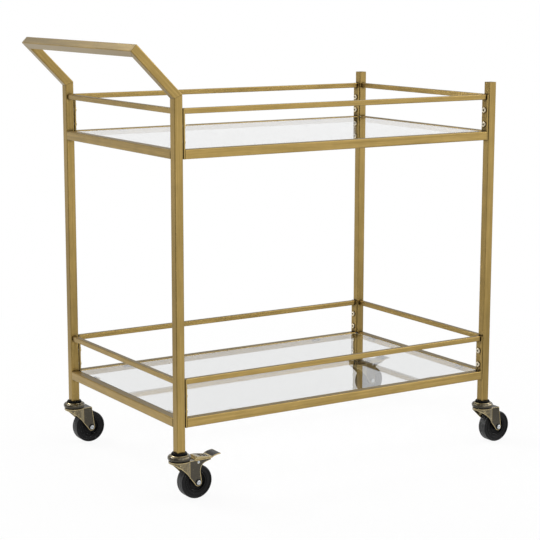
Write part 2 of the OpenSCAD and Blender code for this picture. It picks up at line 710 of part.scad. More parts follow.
// Lever: a channel over the wheel with a closed nose, a shoe on the tread, a sloping neck and a bent pedal
module brake_lever(corner) color(CASTER_BRONZE) under_leg(corner) {
    nose = [brake_pin_x - lever_nose, crown_top + nose_over_crown];
    nose_end = [nose[0] + nose_length, lever_top];
    nose_slope = (nose_end[1] - nose[1]) / nose_length;
    nose_inside = nose + [lever_wall, lever_wall * nose_slope - lever_wall];
    neck_start = [brake_pin_x + shoe_back, lever_top];
    neck_end = [ear_reach + neck_past_ears, neck_top];
    pedal_end = [pedal_reach, pedal_top];
    side_bottom = brake_pin_height - side_drop;
    drop = [0, -lever_wall];
    difference() {
        union() {
            rotate([90, 0, 0]) linear_extrude(2 * lever_half_width, center = true) polygon([
                nose, nose_end, neck_start, neck_end, neck_end + drop, neck_start + drop, nose_end + drop,
                nose_inside, [nose_inside[0], brake_pin_height], [nose[0], brake_pin_height]
            ]);
            for (side = [-1, 1]) translate([0, side * (lever_half_width - lever_wall / 2), 0])
                rotate([90, 0, 0]) linear_extrude(lever_wall, center = true) polygon([
                    nose + drop, nose_end + drop, neck_start + drop, neck_end + drop,
                    [brake_pin_x + side_foot_back, side_bottom], [brake_pin_x, side_bottom],
                    [nose[0], brake_pin_height]
                ]);
        }
        translate([brake_pin_x, 0, brake_pin_height]) rotate([90, 0, 0])
            cylinder(d = brake_pin_diameter + 2 * running_gap, h = 3 * cheek_outside, center = true);
        for (x = [0, 2 * window_length])
            translate([brake_pin_x + window_back + x, -lever_half_width / 2, brake_pin_height])
                cube([window_length, lever_half_width, lever_top - brake_pin_height + cut]);
    }
    translate([brake_pin_x + shoe_back - lever_wall, -lever_half_width, shoe_bottom])
        cube([lever_wall, 2 * lever_half_width, lever_top - lever_wall - shoe_bottom]);
    pedal_corner = [neck_end[0] + pedal_bend * (pedal_end[0] - neck_end[0]), pedal_top];
    top_points = bend(neck_end, pedal_corner, pedal_end, pedal_steps);
    rotate([90, 0, 0]) linear_extrude(pedal_width, center = true) polygon(concat(
        top_points, [for (i = [pedal_steps : -1 : 0]) top_points[i] + drop]
    ));
}

module brake_pin(corner) color(ZINC) under_leg(corner)
    translate([brake_pin_x, 0, brake_pin_height]) rotate([90, 0, 0]) {
        pin_head_height = 0.8;
        cylinder(d = brake_pin_diameter, h = 2 * cheek_outside, center = true);
        for (side = [-1, 1]) translate([0, 0, side * (cheek_outside + pin_head_height / 2)])
            cylinder(d = brake_pin_diameter + 1.4, h = pin_head_height, center = true);
    }

module brake_lever_front_left() brake_lever(FRONT_LEFT);
module brake_lever_rear_right() brake_lever(REAR_RIGHT);
module brake_pin_front_left() brake_pin(FRONT_LEFT);
module brake_pin_rear_right() brake_pin(REAR_RIGHT);

leg_front_left();
leg_rear_left();
leg_front_right();
leg_rear_right();
leg_top_caps();
handle_arm_front();
handle_arm_rear();
handle_grip();
lower_left_rail();
lower_right_rail();
upper_left_rail();
upper_right_rail();
lower_left_gallery();
lower_right_gallery();
upper_left_gallery();
upper_right_gallery();
lower_front_rail();
lower_rear_rail();
upper_front_rail();
upper_rear_rail();
lower_front_gallery();
lower_rear_gallery();
upper_front_gallery();
upper_rear_gallery();
lower_end_plates();
upper_end_plates();
plate_bolts();
rivet_nuts();
lower_glass_tabs();
upper_glass_tabs();
lower_bumpers();
upper_bumpers();
lower_glass();
upper_glass();
leg_plugs();
caster_stems();
caster_caps();
caster_balls();
fork_front_left();
fork_rear_left();
fork_front_right();
fork_rear_right();
tyre_front_left();
tyre_rear_left();
tyre_front_right();
tyre_rear_right();
hub_front_left();
hub_rear_left();
hub_front_right();
hub_rear_right();
axle_front_left();
axle_rear_left();
axle_front_right();
axle_rear_right();
brake_lever_front_left();
brake_lever_rear_right();
brake_pin_front_left();
brake_pin_rear_right();
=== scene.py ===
# %% [markdown]
# # A bar cart in brushed gold, with glass shelves and bronze casters
#
# The real cart is cut and welded from thin square steel tube, plated and brushed to a soft gold. Two glass
# panels drop in on small tabs, and four antique bronze swivel casters plug into the leg ends. Every piece
# comes in from the CAD model at its true size and place. So the lesson is about finishes, and about modelling
# again the small pieces that CAD draws too plainly: bolts, wheels, raceway caps and pressed forks. Blender
# works in metres here, and the cart is known in millimetres, so a factor turns one into the other.

import math

import bmesh
import bpy
from mathutils import Matrix, Vector


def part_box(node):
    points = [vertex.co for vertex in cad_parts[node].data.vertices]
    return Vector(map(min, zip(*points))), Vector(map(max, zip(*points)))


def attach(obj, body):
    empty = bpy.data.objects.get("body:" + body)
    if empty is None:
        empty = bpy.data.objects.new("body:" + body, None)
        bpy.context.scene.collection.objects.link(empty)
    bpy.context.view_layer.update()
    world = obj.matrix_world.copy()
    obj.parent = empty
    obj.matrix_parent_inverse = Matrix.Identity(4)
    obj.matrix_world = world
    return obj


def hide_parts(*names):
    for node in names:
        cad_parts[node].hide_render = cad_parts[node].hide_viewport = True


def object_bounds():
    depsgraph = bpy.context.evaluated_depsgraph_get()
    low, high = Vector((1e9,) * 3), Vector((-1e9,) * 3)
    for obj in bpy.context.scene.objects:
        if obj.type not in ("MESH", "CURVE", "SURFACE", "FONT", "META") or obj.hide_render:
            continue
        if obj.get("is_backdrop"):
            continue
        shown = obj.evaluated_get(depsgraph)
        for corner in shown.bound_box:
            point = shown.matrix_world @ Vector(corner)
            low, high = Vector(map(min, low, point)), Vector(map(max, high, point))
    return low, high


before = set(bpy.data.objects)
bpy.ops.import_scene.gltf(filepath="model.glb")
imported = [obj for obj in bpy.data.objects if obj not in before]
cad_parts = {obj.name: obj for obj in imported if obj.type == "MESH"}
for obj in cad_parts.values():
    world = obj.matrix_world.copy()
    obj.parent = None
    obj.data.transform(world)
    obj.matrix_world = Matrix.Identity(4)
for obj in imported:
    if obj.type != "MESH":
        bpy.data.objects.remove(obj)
cad_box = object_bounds()
MM = 0.001
print("CAD box in mm:", [[round(c / MM, 1) for c in corner] for corner in cad_box])

# %% [markdown]
# ## Where the legs stand
#
# Nearly every small piece belongs to one of the four legs, so their axes are worth having by name. A leg's
# middle could be typed in, but its bounding box gives it exactly. The legs differ in height, so an axis keeps
# only its place on the floor.

# %% Find the leg axes
CORNERS = ("front_left", "rear_left", "front_right", "rear_right")
leg_axis = {}
for corner in CORNERS:
    low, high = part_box("leg_" + corner)
    middle = (Vector(low) + Vector(high)) / 2
    leg_axis[corner] = Vector((middle.x, middle.y, 0))
print("leg axes in mm:", {c: tuple(round(v / MM, 2) for v in p.xy) for c, p in leg_axis.items()})

# %% [markdown]
# ## The camera
#
# The photograph looks at the front left leg from a little above the top shelf, through a long lens that keeps
# the far side of the cart nearly as large as the near side. The straight edges of the frame were measured in
# the picture and the camera was fitted to them, which gave its place, its angles and its focal length. A camera
# looks down its own -Z, so it is raised by 90 degrees less its downward tilt, and then turned about Z.

# %% Place the camera
STAND, CART_MIDDLE = Vector((-1.72018, -2.69799, 0.92759)), Vector((0, 0, 0.4))
TILT, TURN, ROLL = math.radians(10.059), math.radians(32.306), math.radians(0.08)
scene = bpy.context.scene
camera = bpy.data.objects.new("camera", bpy.data.cameras.new("camera"))
scene.collection.objects.link(camera)
camera.data.sensor_width = 36
camera.data.lens = 107.645
camera.matrix_world = (
    Matrix.Translation(STAND)
    @ Matrix.Rotation(-TURN, 4, "Z")
    @ Matrix.Rotation(math.radians(90) - TILT, 4, "X")
    @ Matrix.Rotation(ROLL, 4, "Z")
)
scene.camera = camera
print("camera is", round((STAND - CART_MIDDLE).length, 2), "m from the cart")

# %% [markdown]
# ## Helpers for finishes
#
# Colours are written as the hex values that a screen shows, but shaders count light linearly, so one function
# turns the first into the second. A material is a small tree of nodes. The second function adds one node, gives
# it its settings, sets or links each of its inputs and hands back its output, which keeps every material short.
# The third starts a material with its even values, and hands back the parts that the rest of it is built from.

# %% Colour and node helpers
def linear(hex_colour):
    """Linear RGBA of an sRGB hex colour."""
    channels = [int(hex_colour[i : i + 2], 16) / 255 for i in (1, 3, 5)]
    return [c / 12.92 if c <= 0.04045 else ((c + 0.055) / 1.055) ** 2.4 for c in channels] + [1.0]


def add(tree, kind, inputs=(), out=0, **settings):
    """Adds a node with its settings, sets or links its inputs, and hands back one output, or all for None."""
    made = tree.nodes.new("ShaderNode" + kind)
    for name, value in settings.items():
        setattr(made, name, value)
    for name, value in dict(inputs).items():
        if isinstance(value, bpy.types.NodeSocket):
            tree.links.new(value, made.inputs[name])
        else:
            made.inputs[name].default_value = linear(value) if isinstance(value, str) else value
    return made.outputs if out is None else made.outputs[out]


def finish(name, inputs):
    """A new material: itself, its node tree, its shader and the Object coordinates."""
    made = bpy.data.materials.new(name)
    made.use_nodes = True
    shader = made.node_tree.nodes["Principled BSDF"]
    for socket, value in inputs.items():
        shader.inputs[socket].default_value = value
    return made, made.node_tree, shader, add(made.node_tree, "TexCoord", out="Object")


print("a middle grey in linear light:", round(linear("#808080")[0], 3))

# %% [markdown]
# ## The studio
#
# The cart stands on a white sweep under soft boxes. To the eye the background is pure white, and so it is for
# camera rays, for rays through the glass and for its sharp reflections, which are the singular rays. Diffuse rays
# get less of it, which leaves the lighting to the lamps. Metal is made of what it mirrors, so glossy rays find a
# studio with some shape: brightest overhead, bright at the front right, and less than half as bright along the
# horizon behind the cart and at the front left. That is what turns the tops of the rails grey. At the left front
# stands a black flag, as photographers use to draw edges: the legs' rounded corners mirror it as a dark line.

# %% Light the world
FRONT_RIGHT, FLAG = (0.7, -0.7, 0.0), (-0.85, -0.52, 0.0)
FLAG_SHADE = {"From Min": 0.8, "From Max": 0.97, "To Min": 1.0, "To Max": 0.3}
SMOOTH = {"interpolation_type": "SMOOTHSTEP"}
world = bpy.data.worlds.new("studio")
scene.world = world
world.use_nodes = True
tree = world.node_tree
path = add(tree, "LightPath", out=None)
ray = add(tree, "TexCoord", out="Generated")
rightward, flagward = [add(tree, "VectorMath", {0: ray, 1: way}, operation="DOT_PRODUCT", out="Value")
                       for way in (FRONT_RIGHT, FLAG)]
horizon, zenith = [
    add(tree, "MapRange", {"Value": rightward, "From Min": -0.1, "From Max": 0.8, "To Min": low, "To Max": high},
        **SMOOTH) for low, high in ((0.4, 0.97), (0.5, 1.9))]
flag = add(tree, "MapRange", {"Value": flagward, **FLAG_SHADE}, **SMOOTH)
horizon = add(tree, "Math", {0: horizon, 1: flag}, operation="MULTIPLY")
height = add(tree, "SeparateXYZ", {0: ray}, out="Z")
overhead = add(tree, "MapRange", {"Value": height, "From Min": 0.15, "From Max": 0.7}, **SMOOTH)
studio = add(tree, "Mix", {0: overhead, 2: horizon, 3: zenith})
soft, mirrored, white = [add(tree, "Background", {"Color": "#ffffff", "Strength": strength})
                         for strength in (0.5, studio, 1.0)]
glossy = add(tree, "MixShader", {0: path["Is Glossy Ray"], 1: soft, 2: mirrored})
seen = path["Is Camera Ray"]
for kind in ("Is Transmission Ray", "Is Singular Ray"):
    seen = add(tree, "Math", {0: seen, 1: path[kind]}, operation="MAXIMUM")
sky = add(tree, "MixShader", {0: seen, 1: glossy, 2: white})
tree.links.new(sky, tree.nodes["World Output"].inputs["Surface"])
print("world nodes:", len(tree.nodes))

# %% [markdown]
# ## The floor
#
# One square, wider than any view of the cart, is enough. It is no part of the cart, so it is marked as a backdrop
# and left out of the cart's bounds.

# %% Lay the floor
floor_mesh = bmesh.new()
bmesh.ops.create_grid(floor_mesh, x_segments=1, y_segments=1, size=12)
floor_data = bpy.data.meshes.new("floor")
floor_mesh.to_mesh(floor_data)
floor_mesh.free()
floor = bpy.data.objects.new("floor", floor_data)
scene.collection.objects.link(floor)
floor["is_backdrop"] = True
print("floor is", floor_data.vertices[-1].co.x * 2, "m wide")

# %% [markdown]
# ## What the metal sees of the floor
#
# The legs and rails mirror the floor around the cart, so the shape of its glow is drawn for them: it falls off to
# the left, behind, under the cart, and to the right where the cart cuts off the main lamp's light. Far away it
# rises again, and it is low in front of the black flag. Each change is smooth, and the table gives what it
# follows, from where to where, and its two levels.

# %% Shape the floor's glow
sweep, tree, shader, place = finish("white_paper_sweep", {"Base Color": linear("#f4f4f4"), "Roughness": 0.9})
spot = add(tree, "SeparateXYZ", {0: place}, out=None)
away = add(tree, "VectorMath", {0: place}, operation="LENGTH", out="Value")
outward = add(tree, "VectorMath", {0: place}, operation="NORMALIZE", out="Vector")
flagward = add(tree, "VectorMath", {0: outward, 1: FLAG}, operation="DOT_PRODUCT", out="Value")
fade = {}
for name, value, start, end, low, high in (
    ("left", spot["X"], -1.5, -0.4, 0.64, 1.0), ("behind", spot["Y"], 0.1, 1.3, 1.0, 0.85),
    ("distant", away, 2.4, 4.6, 0.0, 1.0), ("rising", away, 2.6, 4.6, 1.0, 1.15),
    ("right", spot["X"], 0.25, 0.7, 0.0, 1.0), ("front", spot["Y"], -2.0, -0.9, 0.0, 1.0),
    ("under", away, 0.25, 0.6, 0.7, 1.0), ("beside", away, 0.6, 1.3, 1.0, 0.0),
):
    fade[name] = add(tree, "MapRange", {"Value": value, "From Min": start, "From Max": end, "To Min": low,
                                        "To Max": high}, **SMOOTH)
flag = add(tree, "MapRange", {"Value": flagward, **FLAG_SHADE}, **SMOOTH)
flag = add(tree, "Math", {0: flag, 1: fade["beside"]}, operation="MAXIMUM")
cut_off = add(tree, "Math", {0: fade["right"], 1: fade["front"]}, operation="MULTIPLY")
cut_off = add(tree, "MapRange", {"Value": cut_off, "To Min": 1.0, "To Max": 0.55}, **SMOOTH)
dim = add(tree, "Math", {0: fade["left"], 1: fade["behind"]}, operation="MINIMUM")
dim = add(tree, "Math", {0: dim, 1: fade["distant"]}, operation="MAXIMUM")
for factor in (cut_off, fade["under"], fade["rising"], flag):
    dim = add(tree, "Math", {0: dim, 1: factor}, operation="MULTIPLY")
print("changes of the glow:", list(fade))

# %% [markdown]
# ## The paper sweep
#
# The floor is a sheet of white studio paper. Matt white alone would need far more light than the cart to come out
# white. So most of its colour is an even glow of strength 1 and the rest is a matt white that takes the cart's
# shadow. The shadow fades out a step away from the cart, where the floor turns into the white of the background.
# Only the rays of satin metal see the shaped glow. The glass mirrors sharply and sees the even one.

# %% Make the paper
path = add(tree, "LightPath", out=None)
satin = add(tree, "Math", {0: path["Is Glossy Ray"], 1: path["Is Singular Ray"]}, operation="SUBTRACT",
            use_clamp=True)
lit = add(tree, "Mix", {0: satin, 2: 1.0, 3: dim})
glow = add(tree, "Emission", {"Color": "#ffffff", "Strength": lit})
share = add(tree, "MapRange", {"Value": away, "From Min": 0.55, "From Max": 1.5, "To Min": 0.92, "To Max": 1.0})
seen = path["Is Camera Ray"]
for kind in ("Is Transmission Ray", "Is Glossy Ray"):
    seen = add(tree, "Math", {0: seen, 1: path[kind]}, operation="MAXIMUM")
share = add(tree, "Math", {0: seen, 1: share}, operation="MULTIPLY")
mix = add(tree, "MixShader", {0: share, 1: shader.outputs[0], 2: glow})
tree.links.new(mix, tree.nodes["Material Output"].inputs["Surface"])
floor_data.materials.append(sweep)
print("paper nodes:", len(tree.nodes))

# %% [markdown]
# ## The lamps
#
# Three large soft boxes do the work. The main one hangs behind and above the cart's left end, so the rails
# draw soft slanting shadows down the legs. A second fills from the front right, and a third hangs overhead. All
# are hidden from the camera, which would meet them in views from behind and above. The one overhead is hidden
# from glossy rays too, so the shelves don't mirror its outline.

# %% Hang the soft boxes
def soft_box(name, position, size, watts):
    """An area lamp that points at the middle of the cart."""
    lamp = bpy.data.objects.new(name, bpy.data.lights.new(name, "AREA"))
    scene.collection.objects.link(lamp)
    lamp.data.size = size
    lamp.data.energy = watts
    aim = CART_MIDDLE - Vector(position)
    lamp.matrix_world = Matrix.Translation(position) @ aim.to_track_quat("-Z", "Y").to_matrix().to_4x4()
    lamp.visible_camera = False
    return lamp


soft_box("main_box", (-1.5, 1.8, 2.6), 1.1, 42)
soft_box("fill_box", (2.5, -0.7, 1.7), 1.2, 16)
soft_box("top_box", (0.3, -0.6, 3.2), 2.2, 26).visible_glossy = False

# %% [markdown]
# ## Brushed gold plating
#
# The tube is mild steel, plated in a brass tone, brushed along its length and lacquered. Brushing leaves fine
# parallel scratches, so the colour, the roughness and the bump all come from noise that is stretched along the
# tube. Real scratches are about 0.3 mm apart, too fine to show from three metres, so they are drawn at 2.5 mm, with
# a finer set at 0.5 mm mixed in. Wear and rubbed-in patina leave cloudy patches a few centimetres across. The
# corners are painted darker as shade, which ambient occlusion finds, and an attribute called seam marks the
# hairlines where two tubes are welded.
#
# The scratches also spread a reflection sideways, much more than along them, which the Anisotropic setting does:
# it spreads along the tangent, so the tangent runs along the scratches and is turned by a quarter. Faces seen at a
# flat angle are mixed towards grey, a painted sheen for the light they mirror there, which Layer Weight finds.

# %% Mix the brushed gold
def connect(tree, shader, links):
    """Links a material's values to the sockets of its shader."""
    for socket, value in links.items():
        tree.links.new(value, shader.inputs[socket])


SCRATCH_MM, TIMES_LONGER, TIMES_FINER, PATCH_MM, CORNER_MM = 2.5, 45, 5, 45.45, 13
NOISE_SPAN = {"From Min": 0.3, "From Max": 0.7}


def brushed_gold(name, along, lean=0.0, unshaded=0.82):
    """Brushed gold: scratches along an axis, turned about Y by lean, and painted shade in corners that ambient
    occlusion finds.
    """
    made, tree, shader, place = finish(name, {"Metallic": 1.0, "Coat Weight": 0.12, "Coat Roughness": 0.3,
                                              "Anisotropic": 0.75, "Anisotropic Rotation": 0.25})
    way = {"X": (along == "x") + math.sin(lean), "Y": float(along == "y"), "Z": (along == "z") * math.cos(lean)}
    if lean:
        place = add(tree, "VectorRotate", {"Vector": place, "Angle": lean}, rotation_type="Y_AXIS")
    across = 1 / (SCRATCH_MM * MM)
    stretch = Vector([across / TIMES_LONGER if axis == along else across for axis in "xyz"])
    coarse, fine = [add(tree, "Mapping", {"Vector": place, "Scale": scale})
                    for scale in (stretch, stretch * TIMES_FINER)]
    coarse = add(tree, "TexNoise", {"Vector": coarse, "Scale": 1.0, "Detail": 3.0, "Roughness": 0.65})
    fine = add(tree, "TexNoise", {"Vector": fine, "Scale": 1.0})
    strokes = add(tree, "Mix", {0: 0.35, 2: coarse, 3: fine})
    shade = add(tree, "MapRange", {"Value": strokes, **NOISE_SPAN})
    colour = add(tree, "Mix", {0: shade, 6: "#967d45", 7: "#c8aa68"}, data_type="RGBA", out=2)

    cloud = add(tree, "TexNoise", {"Vector": place, "Scale": 1 / (PATCH_MM * MM), "Detail": 3.0, "Roughness": 0.6})
    patch = add(tree, "MapRange", {"Value": cloud, "From Min": 0.35, "From Max": 0.7, "To Max": 0.3})
    # Painted sheen: faces seen at a flat angle are mixed towards grey, for the light they mirror there.
    facing = add(tree, "LayerWeight", {"Blend": 0.5}, out="Facing")
    grazing_sheen = add(tree, "MapRange", {"Value": facing, "From Min": 0.56, "From Max": 0.76, "To Max": 0.6})
    # Painted shade: ambient occlusion darkens the corners towards near black.
    corner = add(tree, "AmbientOcclusion", {"Distance": CORNER_MM * MM}, samples=8, out="AO")
    corner = add(tree, "MapRange", {"Value": corner, "From Min": unshaded - 0.4, "From Max": unshaded, "To Min": 0.92,
                                    "To Max": 0.0})
    seam = add(tree, "Attribute", attribute_name="seam", out="Fac")
    dark = add(tree, "Math", {0: corner, 1: seam}, operation="MAXIMUM")
    for amount, tone in ((patch, "#8a7547"), (grazing_sheen, "#9b927c"), (dark, "#2c2311")):
        colour = add(tree, "Mix", {0: amount, 6: colour, 7: tone}, data_type="RGBA", out=2)

    rough = add(tree, "MapRange", {"Value": strokes, **NOISE_SPAN, "To Min": 0.32, "To Max": 0.44})
    bump = add(tree, "Bump", {"Height": strokes, "Strength": 0.3, "Distance": 0.2 * MM})
    tangent = add(tree, "CombineXYZ", way)
    connect(tree, shader, {"Base Color": colour, "Roughness": rough, "Normal": bump, "Tangent": tangent})
    return made


print("scratches in mm:", SCRATCH_MM, "and", SCRATCH_MM / TIMES_FINER)

# %% [markdown]
# ## A gold for each direction
#
# Noise needs no UV map: Object coordinates are scaled by a different amount along the tube and across it. So each
# direction that a tube can run in needs its own material, and the slanted arms are first turned upright. The end
# plates get one too, with painted shade round their bolt heads, so they darken in shallower corners.

# %% Make the five golds
HANDLE_LEAN = math.radians(45)
gold_along_x = brushed_gold("brushed_gold_plated_steel_along_x", "x")
gold_along_y = brushed_gold("brushed_gold_plated_steel_along_y", "y")
gold_upright = brushed_gold("brushed_gold_plated_steel_upright", "z")
gold_slanted = brushed_gold("brushed_gold_plated_steel_slanted", "z", HANDLE_LEAN)
gold_plates = brushed_gold("brushed_gold_plated_steel_plate", "z", unshaded=0.97)
print("gold nodes:", len(gold_upright.node_tree.nodes))

# %% [markdown]
# ## Brass and zinc
#
# The bolts are brass plated, smoother and paler than the tube. Axles, stems and balls are zinc plated, bright
# with a faint bluish cloud. Both platings are nearly even, with soft patches a few millimetres across where
# the bath or the fingers left them, so one function makes both from two tones and the size of a patch. Narrow
# places, such as a socket, get painted shade, which ambient occlusion over a few millimetres finds.

# %% Mix the small metals
NARROW_MM = 3


def plated(name, light, dark, rough, patch_mm, shade_strength):
    """A plated metal that clouds between two colours, in patches of that size, with that much painted shade in
    narrow places.
    """
    made, tree, shader, place = finish(name, {"Metallic": 1.0})
    cloud = add(tree, "TexNoise", {"Vector": place, "Scale": 1 / (patch_mm * MM), "Detail": 4.0, "Roughness": 0.7})
    mixed = add(tree, "MapRange", {"Value": cloud, "From Min": 0.35, "From Max": 0.68})
    unshaded = add(tree, "Mix", {0: mixed, 6: dark, 7: light}, data_type="RGBA", out=2)
    # Painted shade: ambient occlusion darkens sockets and the rims of the heads.
    narrow = add(tree, "AmbientOcclusion", {"Distance": NARROW_MM * MM}, samples=8, out="AO")
    socket_shade = add(tree, "MapRange", {"Value": narrow, "From Min": 0.45, "From Max": 0.9, "To Min": shade_strength,
                                  "To Max": 0.0})
    colour = add(tree, "Mix", {0: socket_shade, 6: unshaded, 7: "#17130b"}, data_type="RGBA", out=2)
    gloss = add(tree, "MapRange", {"Value": cloud, **NOISE_SPAN, "To Min": rough[1], "To Max": rough[0]})
    bump = add(tree, "Bump", {"Height": cloud, "Strength": 0.2, "Distance": 0.1 * MM})
    connect(tree, shader, {"Base Color": colour, "Roughness": gloss, "Normal": bump})
    return made


bolt_brass = plated("brass_plated_steel_bolt", "#f6eedb", "#dccdab", (0.26, 0.38), 4, 0.97)
zinc = plated("bright_zinc_plated_steel", "#dfe2e5", "#a9afb5", (0.14, 0.3), 3, 0.5)
print("small metals:", [m.name for m in (bolt_brass, zinc)])

# %% [markdown]
# ## Antique bronze
#
# The casters are pressed from steel sheet and plated in antique bronze: a nearly black patina that a buffing
# wheel then rubs back to brass along the edges and over the roundest parts. How far a place is rubbed depends
# on the shape, not on where it is, so it can't come from coordinates. It is stored on each piece instead, as an
# attribute called rubbed, from 0 for full patina to 1 for bare brass, and below 0 where the colour is painted
# darker towards black: painted shade inside the forks and under the caps, and a darker neck and pedal on the brake
# levers. The shader blends between them, and a noise of a few millimetres breaks the blend up as the buffing does.
# A clear lacquer gives the small white highlights. It is thinner where the colour is painted darker, so those
# places stay dark.

# %% Mix the antique bronze
BUFFED_MM, GRIT_MM = 3.5, 0.9
DARKENED_SPAN = {"From Min": -1.0, "From Max": 0.0}
bronze, tree, shader, place = finish("antique_bronze_plated_steel", {"Metallic": 1.0, "Coat Roughness": 0.15})
rubbed = add(tree, "Attribute", attribute_name="rubbed", out="Fac")
cloud = add(tree, "TexNoise", {"Vector": place, "Scale": 1 / (BUFFED_MM * MM), "Detail": 4.0, "Roughness": 0.7})
grit = add(tree, "TexNoise", {"Vector": place, "Scale": 1 / (GRIT_MM * MM)})
uneven = add(tree, "MapRange", {"Value": cloud, **NOISE_SPAN, "To Min": -0.24, "To Max": 0.24})
amount = add(tree, "Math", {0: rubbed, 1: uneven}, operation="ADD", use_clamp=True)
patina, bare = [add(tree, "Mix", {0: grit, 6: dark, 7: light}, data_type="RGBA", out=2)
                for dark, light in (("#39342a", "#565040"), ("#b39a63", "#dfcf9f"))]
# Painted shade: where rubbed is below 0 the patina is darkened towards black.
shade_darkening = add(tree, "MapRange", {"Value": rubbed, **DARKENED_SPAN, "To Min": 0.9, "To Max": 0.0})
patina = add(tree, "Mix", {0: shade_darkening, 6: patina, 7: "#100e0a"}, data_type="RGBA", out=2)
colour = add(tree, "Mix", {0: amount, 6: patina, 7: bare}, data_type="RGBA", out=2)
gloss = add(tree, "MapRange", {"Value": amount, "To Min": 0.32, "To Max": 0.24})
bump = add(tree, "Bump", {"Height": cloud, "Strength": 0.25, "Distance": 0.12 * MM})
lacquer = add(tree, "MapRange", {"Value": rubbed, **DARKENED_SPAN, "To Min": 0.1, "To Max": 0.8})
connect(tree, shader, {"Base Color": colour, "Roughness": gloss, "Normal": bump, "Coat Weight": lacquer})
print("bronze nodes:", len(tree.nodes))

# %% [markdown]
# ## Glass and clear pads
#
# The shelves are tempered soda lime glass, 5 mm thick. Face on it is clear. The ground and polished edge looks
# green, because the light in it has crossed the whole width of the panel. A thin bevel carries that colour, so
# the panel has two materials. A little unevenness from the float bath bends the reflections gently. The pads
# under the glass are soft clear silicone, which is slightly milky.

# %% Mix the clear materials
WAVE_HEIGHT_MM = 0.05


def clear(name, colour, rough, ior, wave_mm):
    """A clear material with a faint waviness of that length."""
    made, tree, shader, place = finish(name, {"Base Color": linear(colour), "Roughness": rough, "IOR": ior,
                                              "Transmission Weight": 1.0})
    wave = add(tree, "TexNoise", {"Vector": place, "Scale": 1 / (wave_mm * MM), "Detail": 1.0})
    bump = add(tree, "Bump", {"Height": wave, "Strength": 0.3, "Distance": WAVE_HEIGHT_MM * MM})
    connect(tree, shader, {"Normal": bump})
    return made


shelf_glass = clear("clear_tempered_glass", "#dfe0e0", 0.0, 1.52, 160)
edge_glass = clear("polished_glass_edge", "#b9d8c9", 0.08, 1.52, 6)
silicone = clear("clear_silicone_pad", "#e9eeee", 0.22, 1.41, 2)
print("clear materials:", shelf_glass.name, edge_glass.name, silicone.name)

# %% [markdown]
# ## Rubber and plastics
#
# The tyre is black thermoplastic rubber. Rolling has scuffed its tread, which is grey with dust, so the tread has a
# paler rubber of its own. The hub is moulded black polypropylene with a fine satin grain, and the plug in the leg
# is black nylon. All of them are dielectrics with an IOR near 1.5 and differ in colour, grain and gloss. Their fine
# grain breaks up most of what they mirror, so the specular level is lowered with it. Grain is under half a
# millimetre on the real parts, and is drawn at 0.6 mm or more.

# %% Mix the black materials
DUST_MM = 16.667


def moulded(name, light, dark, rough, grain_mm, depth_mm, shine):
    """A matt moulded material with a grain of that size and depth, and that specular level."""
    made, tree, shader, place = finish(name, {"IOR": 1.5, "Specular IOR Level": shine})
    grain = add(tree, "TexNoise", {"Vector": place, "Scale": 1 / (grain_mm * MM)})
    dust = add(tree, "TexNoise", {"Vector": place, "Scale": 1 / (DUST_MM * MM), "Detail": 5.0, "Roughness": 0.7})
    mixed = add(tree, "MapRange", {"Value": dust, "From Min": 0.4, "From Max": 0.75})
    colour = add(tree, "Mix", {0: mixed, 6: dark, 7: light}, data_type="RGBA", out=2)
    gloss = add(tree, "MapRange", {"Value": dust, **NOISE_SPAN, "To Min": rough[0], "To Max": rough[1]})
    bump = add(tree, "Bump", {"Height": grain, "Strength": 0.4, "Distance": depth_mm * MM})
    connect(tree, shader, {"Base Color": colour, "Roughness": gloss, "Normal": bump})
    return made


tyre_rubber = moulded("black_rubber_tyre", "#19191a", "#0c0c0d", (0.42, 0.56), 0.6, 0.06, 0.26)
tread_rubber = moulded("scuffed_rubber_tread", "#565656", "#131314", (0.4, 0.6), 0.8, 0.1, 0.5)
hub_plastic = moulded("black_polypropylene_hub", "#101011", "#070708", (0.35, 0.48), 0.6, 0.04, 0.2)
plug_nylon = moulded("black_nylon_plug", "#0e0e0e", "#060606", (0.4, 0.55), 0.6, 0.04, 0.15)
print("black materials:", [m.name for m in (tyre_rubber, tread_rubber, hub_plastic, plug_nylon)])

# %% [markdown]
# ## From a bmesh to a piece
#
# Each new piece is shaped in a bmesh, Blender's editable mesh. Then it becomes an object, rides on the CAD body
# that carries it, and hides the CAD node that it redraws. One function does all that. Smooth shading with the edges
# over 30 degrees kept sharp suits every piece, because all round parts are cut finer than that. On its own it would
# tilt the light on a flat face towards its small neighbours, so a Weighted Normal modifier lets the largest face
# decide.

# %% Make pieces
SHARP = math.radians(30)
dressed = []


def make_piece(name, shape, body, stands_for, materials):
    """An object from a bmesh, riding on a body and standing for CAD nodes."""
    data = bpy.data.meshes.new(name)
    shape.to_mesh(data)
    shape.free()
    for material in materials:
        data.materials.append(material)
    data.shade_smooth()
    data.set_sharp_from_angle(angle=SHARP)
    piece = bpy.data.objects.new(name, data)
    scene.collection.objects.link(piece)
    weighted = piece.modifiers.new("flat faces stay flat", "WEIGHTED_NORMAL")
    weighted.keep_sharp = True
    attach(piece, body)
    if stands_for:
        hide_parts(*stands_for)
    dressed.append(piece)
    print(f"{name}: {len(data.vertices)} vertices, {len(data.polygons)} faces, on {body}")
    return piece


print("edges over", round(math.degrees(SHARP)), "degrees stay sharp")

# %% [markdown]
# ## Sheet and tube with softened edges
#
# Cut steel never has a perfect edge: plating rounds it, and the brush rubs it bright. CAD has drawn those edges
# sharp. They could be faked in the shader, but a real bevel catches light from every side.
# A CAD mesh is loose triangles, so the copy is merged first. Dissolving the flat triangles leaves the true
# outline of each face, and every edge that is still sharper than 30 degrees is bevelled.

